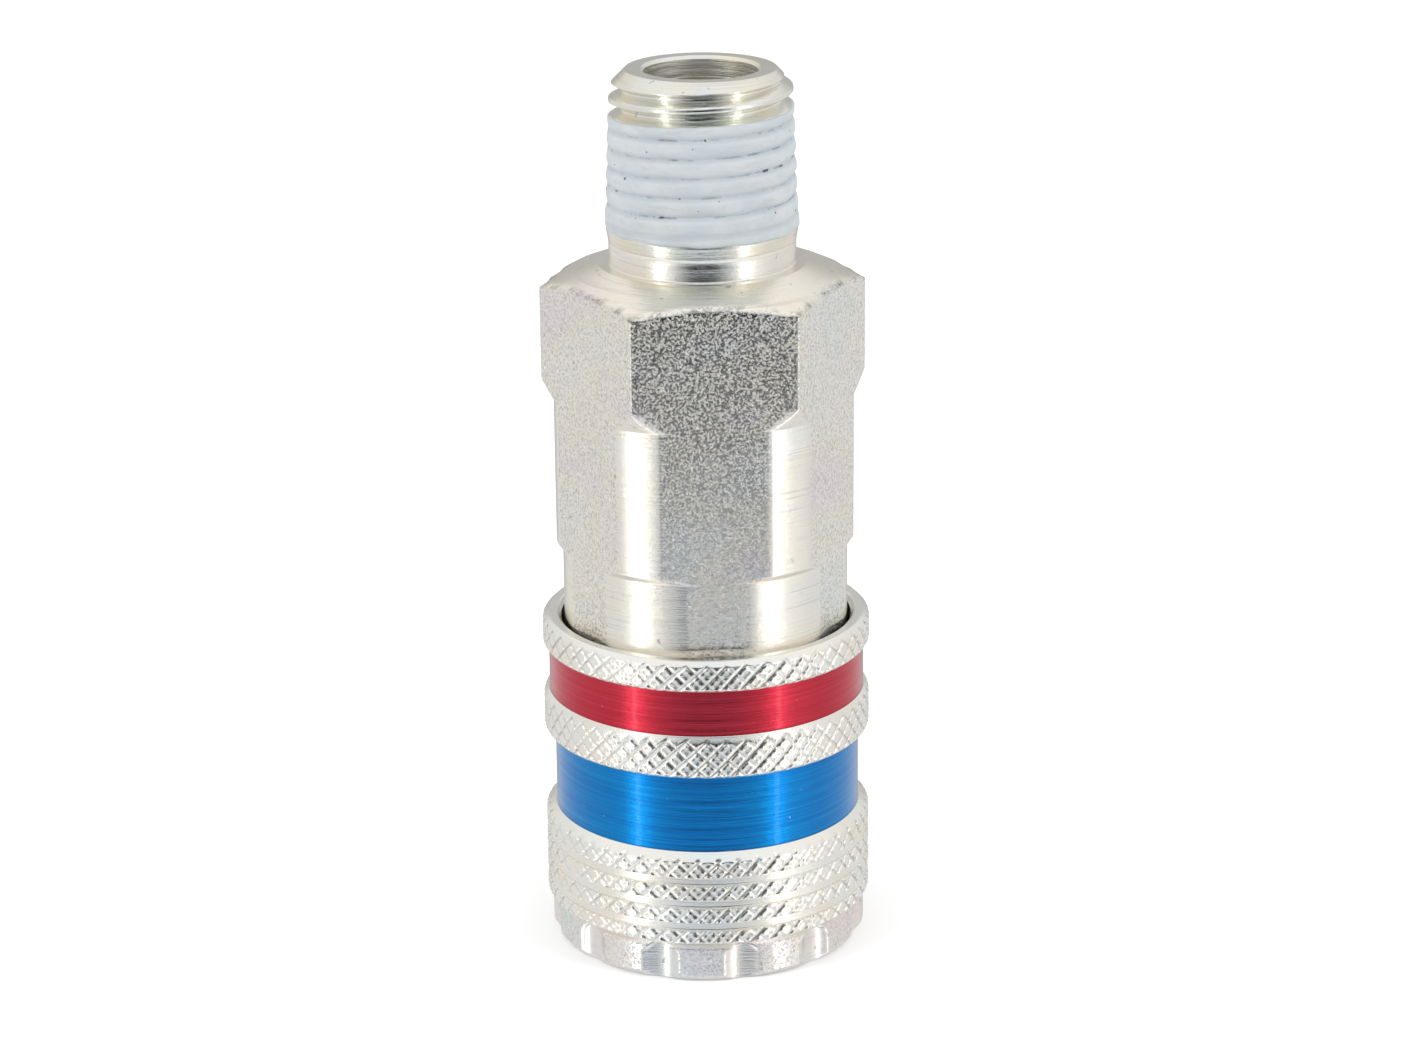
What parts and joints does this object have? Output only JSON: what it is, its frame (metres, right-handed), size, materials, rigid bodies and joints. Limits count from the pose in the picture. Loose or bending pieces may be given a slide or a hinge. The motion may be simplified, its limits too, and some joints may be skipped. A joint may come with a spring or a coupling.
{
  "type": "quick disconnect coupler",
  "caption": "Straight push-in air coupler: knurled sliding sleeve with red and blue bands, hexagon body and male taper thread with dried sealant.",
  "frame": {"origin": "centre of the fluted nose face that the coupler stands on, which is also where the plug goes in", "axes": "+Z along the coupler's axis from the plug socket to the threaded tail; -Y is the side with the hexagon flat turned 4.5 degrees towards +X"},
  "size_m": [0.0237, 0.0236, 0.064],
  "materials": {
    "zinc_plated_steel": "zinc plated, clear passivated, faintly iridescent, turning marks",
    "nickel_plated_steel": "nickel plated over a pressed diamond knurl",
    "red_lacquer": "transparent red lacquer over fine turning marks",
    "blue_lacquer": "transparent blue lacquer over fine turning marks",
    "thread_sealant": "dried, matt, slightly uneven thread sealant",
    "black_rubber": "moulded nitrile rubber",
    "spring_steel": "drawn stainless wire and strip",
    "ball_steel": "polished ball-bearing steel",
    "brass": "turned"
  },
  "bodies": {
    "housing": {"front_body": "zinc_plated_steel", "rear_body": "zinc_plated_steel", "thread_sealant": "thread_sealant", "body_gasket": "black_rubber", "plug_seal": "black_rubber", "valve_guide": "brass", "valve_spring": "spring_steel", "sleeve_spring": "spring_steel"},
    "sleeve_carrier": {"spring_washer": "spring_steel"},
    "sleeve": {"locking_sleeve": "nickel_plated_steel", "blue_band": "blue_lacquer", "red_band": "red_lacquer"},
    "valve": {"valve_poppet": "brass", "valve_seal": "black_rubber"},
    "main_ball_1": {"main_ball_1": "ball_steel"},
    "main_ball_2": {"main_ball_2": "ball_steel"},
    "main_ball_3": {"main_ball_3": "ball_steel"},
    "main_ball_4": {"main_ball_4": "ball_steel"},
    "main_ball_5": {"main_ball_5": "ball_steel"},
    "main_ball_6": {"main_ball_6": "ball_steel"},
    "vent_ball_1": {"vent_ball_1": "ball_steel"},
    "vent_ball_2": {"vent_ball_2": "ball_steel"},
    "vent_ball_3": {"vent_ball_3": "ball_steel"}
  },
  "joints": [
    {"name": "sleeve_slide", "type": "slide", "parent": "housing", "child": "sleeve_carrier", "axis": [0, 0, 1], "range_m": [0, 0.004], "stiffness_N_per_m": 3000, "springref_m": -0.003, "deforming": ["sleeve_spring"]},
    {"name": "sleeve_spin", "type": "hinge", "parent": "sleeve_carrier", "child": "sleeve", "pos_m": [0, 0, 0.00295], "axis": [0, 0, 1], "continuous": true},
    {"name": "valve_slide", "type": "slide", "parent": "housing", "child": "valve", "axis": [0, 0, 1], "range_m": [0, 0.004], "stiffness_N_per_m": 900, "springref_m": -0.003, "deforming": ["valve_spring"]},
    {"name": "main_ball_1_slide", "type": "slide", "parent": "housing", "child": "main_ball_1", "axis": [0, -1, 0], "range_m": [0, 0.0007435]},
    {"name": "main_ball_2_slide", "type": "slide", "parent": "housing", "child": "main_ball_2", "axis": [0.866, -0.5, 0], "range_m": [0, 0.0007435]},
    {"name": "main_ball_3_slide", "type": "slide", "parent": "housing", "child": "main_ball_3", "axis": [0.866, 0.5, 0], "range_m": [0, 0.0007435]},
    {"name": "main_ball_4_slide", "type": "slide", "parent": "housing", "child": "main_ball_4", "axis": [0, 1, 0], "range_m": [0, 0.0007435]},
    {"name": "main_ball_5_slide", "type": "slide", "parent": "housing", "child": "main_ball_5", "axis": [-0.866, 0.5, 0], "range_m": [0, 0.0007435]},
    {"name": "main_ball_6_slide", "type": "slide", "parent": "housing", "child": "main_ball_6", "axis": [-0.866, -0.5, 0], "range_m": [0, 0.0007435]},
    {"name": "vent_ball_1_slide", "type": "slide", "parent": "housing", "child": "vent_ball_1", "axis": [1, 0, 0], "range_m": [-0.0007435, 0]},
    {"name": "vent_ball_2_slide", "type": "slide", "parent": "housing", "child": "vent_ball_2", "axis": [-0.5, 0.866, 0], "range_m": [-0.0007435, 0]},
    {"name": "vent_ball_3_slide", "type": "slide", "parent": "housing", "child": "vent_ball_3", "axis": [-0.5, -0.866, 0], "range_m": [-0.0007435, 0]}
  ],
  "couplings": [
    {"joint": "main_ball_1_slide", "follows": "sleeve_slide", "ratio": 0.18537},
    {"joint": "main_ball_2_slide", "follows": "sleeve_slide", "ratio": 0.18537},
    {"joint": "main_ball_3_slide", "follows": "sleeve_slide", "ratio": 0.18537},
    {"joint": "main_ball_4_slide", "follows": "sleeve_slide", "ratio": 0.18537},
    {"joint": "main_ball_5_slide", "follows": "sleeve_slide", "ratio": 0.18537},
    {"joint": "main_ball_6_slide", "follows": "sleeve_slide", "ratio": 0.18537},
    {"joint": "vent_ball_1_slide", "follows": "sleeve_slide", "ratio": -0.18537},
    {"joint": "vent_ball_2_slide", "follows": "sleeve_slide", "ratio": -0.18537},
    {"joint": "vent_ball_3_slide", "follows": "sleeve_slide", "ratio": -0.18537}
  ]
}
